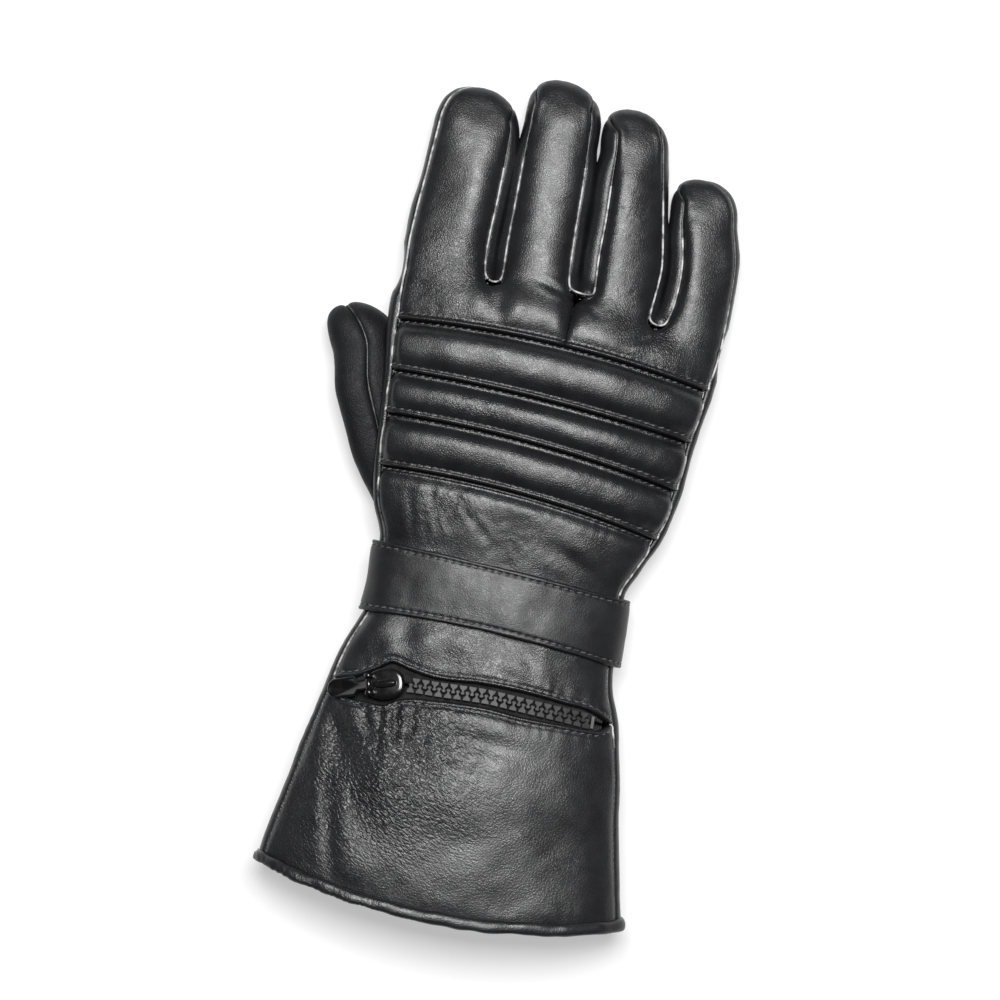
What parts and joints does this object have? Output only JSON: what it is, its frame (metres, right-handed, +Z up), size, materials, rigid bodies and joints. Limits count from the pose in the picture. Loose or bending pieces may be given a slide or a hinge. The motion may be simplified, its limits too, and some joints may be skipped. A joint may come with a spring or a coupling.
{
  "type": "motorcycle gauntlet glove",
  "caption": "Black padded leather gauntlet glove with ribbed back, wrist strap, flared cuff and a zipped cuff pocket, lying palm down.",
  "frame": {"origin": "middle of the glove's outline seen from above, at the level of the surface it lies on", "axes": "+X towards the little finger, +Y towards the fingertips, +Z up out of the back of the hand"},
  "size_m": [0.1563, 0.3321, 0.0476],
  "materials": {
    "leather": "semi-gloss black hide with a fine grain and soft creases",
    "cuff_leather": "semi-gloss black hide, pebbled and creased on its left half",
    "strap_leather": "smooth semi-gloss black hide",
    "closure_fabric": "black hook and loop fabric",
    "zip_tape": "black ribbed woven tape",
    "zip_plastic": "moulded black acetal teeth with a soft sheen",
    "zip_gloss": "glossy black enamel"
  },
  "bodies": {
    "glove": {"knuckle_panel_inner": "leather", "knuckle_panel_outer": "leather", "rib_1": "leather", "rib_2": "leather", "rib_3": "leather", "wrist_panel": "leather", "gauntlet_back": "cuff_leather", "gauntlet_palm": "cuff_leather", "fourchette_index_middle": "leather", "fourchette_middle_ring": "leather", "fourchette_ring_little": "leather", "palm_panel": "leather", "thumb_outer": "leather", "thumb_inner": "leather", "hem_roll": "cuff_leather", "strap": "strap_leather", "closure_patch": "closure_fabric", "zip_tape_upper": "zip_tape", "zip_tape_lower": "zip_tape", "zip_teeth": "zip_plastic", "zip_slider": "zip_gloss"},
    "zip_tab": {"pull_tab": "zip_gloss"}
  },
  "joints": [
    {"name": "tab_hinge", "type": "hinge", "parent": "glove", "child": "zip_tab", "pos_m": [-0.03958, -0.07821, 0.03933], "axis": [-0.2055, 0.9655, -0.1597], "range_deg": [0, 160]}
  ]
}
